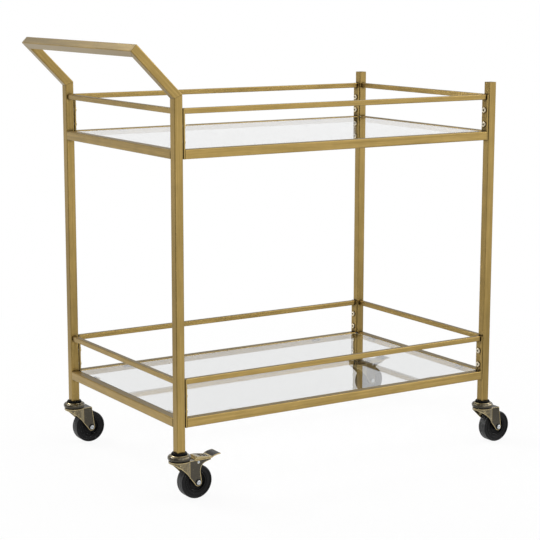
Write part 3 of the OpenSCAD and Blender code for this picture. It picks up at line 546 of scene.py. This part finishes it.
# %% Soften the edges of a CAD node
def cad_copy(node):
    """A merged bmesh copy of a CAD node with its flat faces joined up."""
    shape = bmesh.new()
    shape.from_mesh(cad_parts[node].data)
    bmesh.ops.remove_doubles(shape, verts=shape.verts, dist=0.002 * MM)
    bmesh.ops.dissolve_limit(shape, angle_limit=math.radians(0.5), verts=shape.verts, edges=shape.edges)
    return shape


def soften(shape, width_mm, segments=2, keep=None):
    """Bevels the sharp edges of a bmesh, and returns the faces that this made."""
    edges = [e for e in shape.edges if e.is_manifold and e.calc_face_angle(0) > SHARP
             and (keep is None or keep(e))]
    return bmesh.ops.bevel(shape, geom=edges, offset=width_mm * MM, affect="EDGES",
                           segments=segments, profile=0.5, material=-1, clamp_overlap=True)["faces"]


print("faces of a rail's clean outline:", len(cad_copy("upper_front_rail").faces))

# %% [markdown]
# ## The gold frame
#
# The tubes are already right in CAD, down to their rounded corners. What they lack is the fine groove where one
# tube meets another, which dark patina fills on the real cart. A bevel of 0.8 mm round each tube's ends cuts it.
# It has two segments, so its middle row of vertices touches no other face, and that row is marked in the seam
# attribute. So the dark fades out within the bevel. The legs' feet are cut ends with no weld, and stay bright.

# %% Dress the gold tubes and plates
SHELVES = ("lower", "upper")
LONG_RAILS, END_RAILS = [[f"{shelf}_{side}_{rail}" for shelf in SHELVES for side in pair for rail in
                          ("rail", "gallery")] for pair in (("front", "rear"), ("left", "right"))]
END_PLATES, TABS = [[shelf + part for shelf in SHELVES] for part in ("_end_plates", "_glass_tabs")]
GOLD_ALONG = {
    gold_along_x: LONG_RAILS,
    gold_along_y: END_RAILS + ["handle_grip"] + TABS,
    gold_upright: ["leg_" + corner for corner in CORNERS] + ["leg_top_caps"],
    gold_plates: END_PLATES,
    gold_slanted: ["handle_arm_front", "handle_arm_rear"],
}
UNWELDED = ["leg_top_caps"] + END_PLATES + TABS
WELD_GROOVE_MM, CUT_EDGE_MM, FOOT_TOP = 0.8, 0.35, 100 * MM
for material, nodes in GOLD_ALONG.items():
    for node in nodes:
        shape = cad_copy(node)
        welded = node not in UNWELDED
        bevelled = set(soften(shape, WELD_GROOVE_MM if welded else CUT_EDGE_MM))
        seam = shape.verts.layers.float.new("seam")
        for vert in shape.verts:
            middle_row = all(face in bevelled for face in vert.link_faces)
            vert[seam] = float(welded and middle_row and vert.co.z > FOOT_TOP)
        make_piece(node + "_plated", shape, "cart", [node], [material])

# %% [markdown]
# ## Glass panels
#
# A panel is a cut sheet with its corners rounded and its edge ground to a pencil round. It starts from a cube
# stretched to the CAD panel's box. Its four upright edges are bevelled into the 3 mm corners, then the rims above
# and below are bevelled for the polished edge. Glass casts no shadow here: real glass lets nearly all the light
# through, which a path tracer would need a great many samples to find.

# %% Cut the glass panels
CORNER_RADIUS_MM, POLISHED_MM, LEVEL = 3, 0.8, 0.9
for shelf in SHELVES:
    low, high = (Vector(corner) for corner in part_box(shelf + "_glass"))
    size = high - low
    shape = bmesh.new()
    stretched = Matrix.Translation((low + high) / 2) @ Matrix.Diagonal((*size, 1))
    bmesh.ops.create_cube(shape, size=1.0, matrix=stretched)
    upright = [e for e in shape.edges if abs(e.verts[0].co.z - e.verts[1].co.z) > size.z / 2]
    bmesh.ops.bevel(shape, geom=upright, offset=CORNER_RADIUS_MM * MM, affect="EDGES", segments=6, profile=0.5,
                    material=-1)
    soften(shape, POLISHED_MM, 3, keep=lambda e: abs(e.verts[0].co.z - e.verts[1].co.z) < size.z / 2)
    for face in shape.faces:
        face.material_index = 0 if abs(face.normal.z) >= LEVEL else 1
    panel = make_piece(shelf + "_glass_panel", shape, "cart", [shelf + "_glass"],
                       [shelf_glass, edge_glass])
    panel.visible_shadow = False

# %% [markdown]
# ## Turned shapes
#
# Bolt heads, pads, caps, wheels and axle ends are all round, so a single helper turns a profile about Z. The
# profile is a row of radius and height pairs in millimetres. Points on the axis make a pole, where the spin
# leaves many vertices in one place, so doubles are merged afterwards and the normals worked out again. Most of
# these shapes come more than once, so another helper sets copies of one at its places.

# %% Turn a profile
def turned(profile, steps, closed=False):
    """A solid of revolution about Z from (radius, height) pairs in millimetres."""
    shape = bmesh.new()
    points = [shape.verts.new((radius * MM, 0, height * MM)) for radius, height in profile]
    edges = [shape.edges.new(pair) for pair in zip(points, points[1:])]
    if closed:
        edges.append(shape.edges.new((points[-1], points[0])))
    bmesh.ops.spin(shape, geom=points + edges, cent=(0, 0, 0), axis=(0, 0, 1), angle=math.tau, steps=steps,
                   use_merge=True)
    bmesh.ops.remove_doubles(shape, verts=shape.verts, dist=0.001 * MM)
    bmesh.ops.recalc_face_normals(shape, faces=shape.faces)
    return shape


def rounded(centre, radius, start, end, count):
    """Points of a profile along an arc, from one angle to another in degrees."""
    angles = [math.radians(start + (end - start) * i / count) for i in range(count + 1)]
    return [(centre[0] + radius * math.cos(a), centre[1] + radius * math.sin(a)) for a in angles]


def place_copies(shape, places):
    """One bmesh with a copy of the given one, which it uses up, at each matrix."""
    master = bpy.data.meshes.new("master")
    shape.to_mesh(master)
    shape.free()
    copies = bmesh.new()
    for matrix in places:
        start = len(copies.verts)
        copies.from_mesh(master)
        copies.verts.ensure_lookup_table()
        bmesh.ops.transform(copies, matrix=matrix, verts=copies.verts[start:])
    bpy.data.meshes.remove(master)
    return copies


print("points on an arc cut into four steps:", len(rounded((0, 0), 1, 0, 90, 4)))

# %% [markdown]
# ## Button head bolts
#
# Sixteen M6 button head bolts hold the side panels' plates to the legs. The head is a low dome with a hex socket,
# the shank carries a thread. The dome is turned as an open shell that ends in a ring round the socket. That ring
# is drawn in to a hexagon by moving each vertex along its radius, and then extruded down and closed, which is
# how the punch makes the real socket. The thread is a row of ridges 1 mm apart rather than a true helix, since
# the nut hides it.

# %% Make the bolts
HEAD_RADIUS, HEAD_HEIGHT, HEAD_ROUND, SHANK, SOCKET_FLATS, SOCKET_DEPTH = 5.25, 3.2, 1.0, 12, 4, 2
THREAD_ROOT, THREAD_CREST, THREAD_PITCH, NECK = 2.45, 2.95, 1.0, 2.6
ridges = [point for turn in range(1, SHANK - 1)
          for point in ((THREAD_ROOT, -turn * THREAD_PITCH), (THREAD_CREST, -(turn + 0.5) * THREAD_PITCH))]
profile = [(0, -SHANK), (2.2, -SHANK)] + ridges[::-1] + [(NECK, -0.3), (NECK, 0)]
profile += [(HEAD_RADIUS - 0.3, 0), (HEAD_RADIUS, 0.3), (HEAD_RADIUS, 2.1)]
profile += rounded((HEAD_RADIUS - HEAD_ROUND, HEAD_HEIGHT - HEAD_ROUND), HEAD_ROUND, 5, 85, 4)
profile += [(2.5, HEAD_HEIGHT)]
bolt = turned(profile, 36)
rim = [e for e in bolt.edges if e.is_boundary]
ring = {v for e in rim for v in e.verts}
for vert in ring:
    angle = math.atan2(vert.co.y, vert.co.x)
    from_flat = (angle % math.radians(60)) - math.radians(30)
    reach = SOCKET_FLATS / 2 * MM / math.cos(from_flat)
    vert.co.x, vert.co.y = reach * math.cos(angle), reach * math.sin(angle)
wall = bmesh.ops.extrude_edge_only(bolt, edges=rim)["geom"]
bottom = [v for v in wall if isinstance(v, bmesh.types.BMVert)]
bmesh.ops.translate(bolt, verts=bottom, vec=(0, 0, -SOCKET_DEPTH * MM))
bmesh.ops.holes_fill(bolt, edges=[e for e in bolt.edges if e.is_boundary], sides=0)
bmesh.ops.recalc_face_normals(bolt, faces=bolt.faces)

PLATE_FACE, BOLT_SPACING = 13 * MM, 28 * MM
bolt_places = []
for axis in leg_axis.values():
    inward = 1 if axis.x < 0 else -1
    for shelf in SHELVES:
        low, high = (Vector(corner).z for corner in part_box(shelf + "_end_plates"))
        for side in (-1, 1):
            seat = axis + Vector((inward * PLATE_FACE, 0, (low + high + side * BOLT_SPACING) / 2))
            bolt_places.append(Matrix.Translation(seat) @ Matrix.Rotation(inward * math.pi / 2, 4, "Y"))
make_piece("plate_bolts_dressed", place_copies(bolt, bolt_places), "cart", ["plate_bolts"],
           [bolt_brass])

# %% [markdown]
# ## Clear pads
#
# Sixteen soft pads stop the glass rattling on its tabs. Each is a low button, poured as a drop, so its top is
# slightly domed and its foot slightly spread. The glass rests on them, so the domes stay a hair under it.

# %% Make the clear pads
pad = turned([(0, 0), (3.8, 0), (4.0, 0.25), (3.9, 0.9)] + rounded((2.8, 0.8), 1.15, 10, 85, 4) + [(0, 2.0)], 24)
HALF_TUBE, SIDE_TAB, END_TAB, TAB_REACH = 8.5 * MM, 129 * MM, 75 * MM, 7 * MM
near, right, far = [leg_axis[corner] for corner in ("front_left", "front_right", "rear_left")]
half_x, half_y = (right.x - near.x) / 2 + HALF_TUBE, (far.y - near.y) / 2 + HALF_TUBE
middle_x = (near.x + right.x) / 2
reach = 2 * HALF_TUBE + TAB_REACH
for shelf in SHELVES:
    foot = Vector(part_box(shelf + "_bumpers")[0]).z
    places = [Matrix.Translation((middle_x + x * (half_x - from_end), y * (half_y - from_side), foot))
              for from_end, from_side in ((SIDE_TAB, reach), (reach, END_TAB)) for x in (-1, 1) for y in (-1, 1)]
    make_piece(shelf + "_bumpers_dressed", place_copies(pad.copy(), places), "cart", [shelf + "_bumpers"],
               [silicone])
pad.free()

# %% [markdown]
# ## Raceway caps
#
# The round cap over each caster covers its upper ring of balls. It is spun from sheet: the edge is rolled over
# into a fat rim, and a low lip stands up round the plug's collar. The whole section is turned as one closed loop,
# the outside going up and the inside coming back down. Buffing has half bared the lip, while the fat rim keeps its
# dark patina, with painted shade on its waist and underside, so each vertex gets its rubbing and shade from its
# radius and height.

# %% Turn the raceway caps
def paint_rubbing_and_shade(shape, amount):
    """Stores how far each vertex is rubbed to brass, and below 0 how far it is painted darker, from a function of
    its place.
    """
    layer = shape.verts.layers.float.get("rubbed") or shape.verts.layers.float.new("rubbed")
    for vert in shape.verts:
        vert[layer] = amount(vert)
    return shape


outside = [(17.6, 75.0), (18.5, 75.0), (19.0, 75.3)] + rounded((16.5, 80.0), 5.2, -56, 78, 14)
outside += [(17.2, 85.3), (16.9, 85.7), (16.4, 86.05), (15.8, 86.1), (15.3, 85.8)]
inside = [(15.1, 85.3), (15.0, 84.6), (5.05, 84.6), (5.05, 83.8), (10.0, 83.8), (10.0, 80.5), (15.5, 80.5)]
inside += [(15.8, 83.6), (18.0, 83.2), (19.9, 81.4), (20.3, 79.6), (19.6, 77.6), (18.2, 76.2), (17.6, 75.8)]
LIP_FOOT, LIP_INSIDE, RIM_SHOULDER, RIM_WAIST = 85.2, 15.0, 80.5, 78.5


def cap_rubbing_and_shade(vert):
    """Some on the lip, next to none on the fat rim, and painted shade under it."""
    radius, height = vert.co.xy.length / MM, vert.co.z / MM
    if height > LIP_FOOT and radius > LIP_INSIDE:
        return 0.4
    # Painted shade on the waist and underside of the rolled rim, below 0.
    return 0.08 if height > RIM_SHOULDER else -0.1 if height > RIM_WAIST else -0.55


cap = paint_rubbing_and_shade(turned(outside + inside, 72, closed=True), cap_rubbing_and_shade)
make_piece("caster_caps_dressed", place_copies(cap, [Matrix.Translation(a) for a in leg_axis.values()]),
           "cart", ["caster_caps"], [bronze])

# %% [markdown]
# ## Ribbed plugs
#
# A black nylon plug fills each leg end and takes the caster's stem. Its body and bore are right in CAD. The real
# collar under the leg is moulded with a ring of small ribs, which can be seen inside the lip of the cap. So a
# copy of the CAD plug gets softened edges and twenty ribs.

# %% Rib the plugs
def join(*shapes):
    """One bmesh that holds the given ones, which it uses up."""
    whole = bmesh.new()
    for shape in shapes:
        part = bpy.data.meshes.new("part")
        shape.to_mesh(part)
        shape.free()
        whole.from_mesh(part)
        bpy.data.meshes.remove(part)
    return whole


RIBS, RIB_OUT, RIB_HEIGHT, RIB_SIZE = 20, 13.6 * MM, 87.3 * MM, (1.8 * MM, 2.2 * MM, 3.6 * MM)
rib = bmesh.new()
bmesh.ops.create_cube(rib, size=1.0, matrix=Matrix.Translation((RIB_OUT, 0, RIB_HEIGHT))
                      @ Matrix.Diagonal((*RIB_SIZE, 1)))
bmesh.ops.bevel(rib, geom=rib.edges[:], offset=0.35 * MM, affect="EDGES", segments=1, profile=0.5, material=-1)
places = [Matrix.Translation(axis) @ Matrix.Rotation(math.radians(360 / RIBS * i), 4, "Z")
          for axis in leg_axis.values() for i in range(RIBS)]
plugs = cad_copy("leg_plugs")
soften(plugs, 0.4)
make_piece("leg_plugs_ribbed", join(plugs, place_copies(rib, places)), "cart", ["leg_plugs"],
           [plug_nylon])

# %% [markdown]
# ## Rubbed edges
#
# The forks and the brake levers are pressed from sheet. Every edge of the real ones is rubbed to bright brass over
# about a millimetre, and that line is what the eye reads. A shader that looks for edges could draw it, but here the
# mesh carries it. So the edges are bevelled and each wide face is inset twice, which leaves two narrow rings
# along every edge: the first is rubbed bare and the second fades. The cut edge of the sheet is bare all over. It
# is told from the wide faces by a patch's area over its outline, which is half a strip's width.

# %% Find and rub the edges
HALF_STRIP = 0.9 * MM


def wide_faces(shape, narrow):
    """The faces outside a set that form patches wider than the narrow strips of a cut sheet."""
    wide, left = [], {face for face in shape.faces if face not in narrow}
    while left:
        patch, front = set(), [left.pop()]
        while front:
            face = front.pop()
            patch.add(face)
            near = {other for edge in face.edges for other in edge.link_faces if other in left}
            left -= near
            front += near
        rim = sum(e.calc_length() for face in patch for e in face.edges
                  if any(other not in patch for other in e.link_faces))
        if sum(face.calc_area() for face in patch) / rim > HALF_STRIP:
            wide += patch
    return wide


def rub_edges(shape, bevel_mm, bare_mm, fade_mm, rubbing_and_shade):
    """Softens the edges of a pressing and stores how far they and the rest are rubbed, with painted darkening below
    0.
    """
    shape.verts.layers.float.new("rubbed")  # made first, because a new layer makes Python forget its vertices
    wide = wide_faces(shape, set(soften(shape, bevel_mm)))
    for width in (bare_mm, fade_mm):
        ring = bmesh.ops.inset_region(shape, faces=wide, thickness=width * MM, use_even_offset=False,
                                      use_boundary=True)["faces"]
    kept = set(wide) | set(ring)
    bare = {vert for face in shape.faces if face not in kept for vert in face.verts}
    return paint_rubbing_and_shade(shape, lambda vert: 1.0 if vert in bare else rubbing_and_shade(vert))


print("strips under", 2 * HALF_STRIP / MM, "mm wide count as cut edges")

# %% [markdown]
# ## Pressed forks
#
# A fork is one pressing: a round skirt over the raceway with two flat cheeks that run back and down to the axle.
# The shape is right in CAD, so it is the surface that matters. The round skirt is rubbed a little, and most beside
# the crease where a cheek leaves it, which is wear and a painted highlight. The flat cheeks keep their patina, and
# the inside gets painted shade. Low on the skirt are four small dimples, where the press located the sheet.

# %% Press the forks
SKIRT_INSIDE, SKIRT_ROOF, CHEEK_INSIDE, CREASE_FROM, CREASE_TO = 19, 73, 14, 6, 13.5


def skirt_rubbing_and_shade(axis):
    """Rubbing of a fork away from its edges: some on the skirt, most beside the crease as wear and painted
    highlight, and painted shade inside.
    """
    def amount(vert):
        out = (vert.co - axis) / MM
        back = out.x
        within = abs(out.y) < CHEEK_INSIDE if back > 0 else out.xy.length < SKIRT_INSIDE
        # Painted shade inside the skirt and between the cheeks.
        if within and out.z < SKIRT_ROOF:
            return -0.9
        # Beside the crease the rubbing is wear and a painted highlight.
        return -0.1 if back > CREASE_TO else 0.38 if back > CREASE_FROM else 0.22
    return amount


DIMPLE_HEIGHT, DIMPLE_OUT, DIMPLE_TURNS = 68.6 * MM, 19.9 * MM, (113.7, 133.8)
dimple = turned([(0, 0.7)] + rounded((0, -0.6), 1.3, 80, 20, 4), 12)
for corner in CORNERS:
    axis = leg_axis[corner]
    places = [Matrix.Translation(axis + Vector((0, 0, DIMPLE_HEIGHT)))
              @ Matrix.Rotation(math.radians(side * turn), 4, "Z")
              @ Matrix.Translation((DIMPLE_OUT, 0, 0)) @ Matrix.Rotation(math.radians(90), 4, "Y")
              for side in (-1, 1) for turn in DIMPLE_TURNS]
    dimples = paint_rubbing_and_shade(place_copies(dimple.copy(), places), lambda vert: 1.0)
    shape = join(rub_edges(cad_copy("fork_" + corner), 0.4, 0.65, 0.5, skirt_rubbing_and_shade(axis)), dimples)
    make_piece(f"fork_{corner}_pressed", shape, "swivel_" + corner, ["fork_" + corner], [bronze])
dimple.free()

# %% [markdown]
# ## Brake levers
#
# Two of the casters have a brake. Its lever is another pressing: a channel over the fork, with a closed nose that
# slopes down at the front, two windows in a sloping neck, and a pedal that curves up and back. Its edges are
# rubbed as the fork's are. Its sides, which stand a little over the fork's ears, are rubbed bare by hands and
# shoes, while the neck and pedal are painted darker.

# %% Press the brake levers
BRAKED = ("front_left", "rear_right")
SIDE_FROM, SIDE_TO, SIDE_BACK, TOP_BACK = 11.5, 13, 61, 40


def lever_rubbing(axis):
    """Rubbing of a lever away from its edges: bare sides, a worn flat top, and a dark neck and pedal."""
    def amount(vert):
        back, side = (vert.co.x - axis.x) / MM, abs(vert.co.y - axis.y) / MM
        if SIDE_FROM < side < SIDE_TO and back < SIDE_BACK:
            return 0.75
        return 0.05 if back < TOP_BACK else -0.8
    return amount


for corner in BRAKED:
    shape = rub_edges(cad_copy("brake_lever_" + corner), 0.35, 0.5, 0.5, lever_rubbing(leg_axis[corner]))
    make_piece(f"brake_lever_{corner}_pressed", shape, "brake_" + corner, ["brake_lever_" + corner],
               [bronze])

# %% [markdown]
# ## Wheels
#
# A wheel is a hard hub with a rubber tyre moulded on it. The tyre's side steps in twice, at about nine tenths
# and seven tenths of the radius, and two fine grooves run round the tread. The hub is a dished disc with a rim,
# a raised ring and a boss that takes the axle. Both are turned about Z from half a profile and its mirror image,
# and then laid on their side at the axle.

# %% Turn the wheels
def both_sides(half):
    """A closed profile from the half above the middle, mirrored below it."""
    return half + [(radius, -height) for radius, height in reversed(half) if height > 0]


def laid_across(shape, corner, back_mm, height_mm):
    """A piece turned about Z, laid across the cart that far behind a leg's axis and above the floor."""
    place = leg_axis[corner] + Vector((back_mm * MM, 0, height_mm * MM))
    return place_copies(shape, [Matrix.Translation(place) @ Matrix.Rotation(math.radians(90), 4, "X")])


tyre_half = [(20.5, 0.0), (20.5, 9.3), (21.0, 9.9), (22.6, 10.1), (22.9, 10.5), (23.2, 10.5), (23.5, 9.4),
             (24.2, 9.2), (26.9, 9.2), (27.5, 9.5), (27.8, 10.7), (28.2, 11.0)]
tyre_half += rounded((28.35, 7.6), 3.4, 88, 0, 8)
tyre_half += [(31.75, 4.6), (31.3, 4.4), (31.3, 3.8), (31.75, 3.6), (31.75, 0.0)]
hub_half = [(3.05, 12.7), (6.9, 12.7), (7.5, 12.1), (7.5, 4.9), (8.2, 4.2), (11.0, 4.0), (11.3, 4.9), (12.4, 4.9),
            (12.7, 4.0), (16.2, 4.0), (17.0, 4.6), (17.0, 8.4), (17.6, 9.0), (19.9, 9.0), (20.5, 8.5), (20.5, 0.0)]
AXLE, TREAD_RADIUS = (31, 31.75), 31.0
for corner in CORNERS:
    tyre = turned(both_sides(tyre_half), 96, closed=True)
    for face in tyre.faces:
        if face.calc_center_median().xy.length > TREAD_RADIUS * MM:
            face.material_index = 1
    make_piece(f"tyre_{corner}_grooved", laid_across(tyre, corner, *AXLE), "wheel_" + corner, ["tyre_" + corner],
               [tyre_rubber, tread_rubber])
    hub = turned(both_sides([(3.05, 0.0)] + hub_half), 64, closed=True)
    make_piece(f"hub_{corner}_dished", laid_across(hub, corner, *AXLE), "wheel_" + corner, ["hub_" + corner],
               [hub_plastic])

# %% [markdown]
# ## Axles and brake pins
#
# An axle is a bolt with a domed head at the front and a hex nut at the rear, and a brake pin is a rivet with two
# low domes. Domes are arcs of the profile. The nut starts as a hexagon and is extruded; bevelling the rims
# of its two faces gives the chamfer of a real nut. The shank's end stands out of it by a millimetre. The photograph
# shows a black round behind the domed head, which is the shade under it, so a thin disc of black plastic stands
# there as painted shade.

# %% Make the axles
NUT_FLATS, NUT_SEAT, NUT_THICKNESS = 10, 15, 5


def axle_end_nut():
    """A chamfered hex nut under the rear cheek."""
    nut = bmesh.new()
    bmesh.ops.create_circle(nut, cap_ends=True, radius=NUT_FLATS / 2 / math.cos(math.radians(30)) * MM, segments=6)
    bmesh.ops.translate(nut, verts=nut.verts, vec=(0, 0, -NUT_SEAT * MM))
    far_face = [v for v in bmesh.ops.extrude_face_region(nut, geom=nut.faces[:])["geom"]
                if isinstance(v, bmesh.types.BMVert)]
    bmesh.ops.translate(nut, verts=far_face, vec=(0, 0, -NUT_THICKNESS * MM))
    bmesh.ops.recalc_face_normals(nut, faces=nut.faces)
    soften(nut, 0.5)
    return nut


axle_profile = [(0, -21), (2.4, -21), (3.0, -20.4), (3.0, 15.8), (4.2, 15.8), (4.5, 16.1), (4.5, 16.6)]
axle_profile += rounded((2.6, 16.6), 1.9, 5, 70, 5) + [(2.1, 18.5), (1.7, 18.2), (1.3, 17.9), (0, 17.8)]
shade_disc_profile = [(3.05, 15.0), (5.9, 15.0), (6.1, 15.2), (6.1, 15.5), (5.9, 15.7), (3.05, 15.7)]
for corner in CORNERS:
    axle = join(turned(axle_profile, 40), axle_end_nut())
    make_piece(f"axle_{corner}_domed", laid_across(axle, corner, *AXLE), "swivel_" + corner, ["axle_" + corner],
               [zinc])
    # A thin black disc behind the axle head, as painted shade.
    shade_disc = turned(shade_disc_profile, 40, closed=True)
    make_piece(f"axle_shade_disc_{corner}", laid_across(shade_disc, corner, *AXLE), "swivel_" + corner, [],
               [hub_plastic])

BRAKE_PIN = (31.5, 70)
pin_half = [(2.0, 15.0)] + rounded((0.9, 15.0), 1.8, 0, 25, 1) + [(1.6, 15.7), (0.6, 15.8), (0, 15.8)]
for corner in BRAKED:
    pin = turned([(radius, -height) for radius, height in reversed(pin_half)] + pin_half, 24)
    make_piece(f"brake_pin_{corner}_domed", laid_across(pin, corner, *BRAKE_PIN), "swivel_" + corner,
               ["brake_pin_" + corner], [zinc])

# %% [markdown]
# ## CAD pieces that stay
#
# The stems, the bearing balls and the rivet nuts are right as CAD drew them, and are mostly hidden. They only
# need their finish, so their material slots are filled and their meshes are left alone.

# %% Finish the pieces that stay
for node in ("caster_stems", "caster_balls", "rivet_nuts"):
    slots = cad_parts[node].material_slots
    for slot in slots:
        slot.material = zinc
    print(node, "keeps its mesh and takes", slots[0].material.name)

# %% [markdown]
#
# The Standard view transform shows colours as they were written, which a product picture wants. The finished
# cart should be no larger than the CAD model, but for the bevels of its axle ends, so both boxes are written
# down to be compared.

# %% Set the view and write the sizes
scene.view_settings.view_transform = "Standard"
dressed_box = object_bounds()
growth = [round((dressed_box[i][axis] - cad_box[i][axis]) / MM, 2) for i in (0, 1) for axis in range(3)]
print("pieces made:", len(dressed), "growth of the box in mm:", growth)
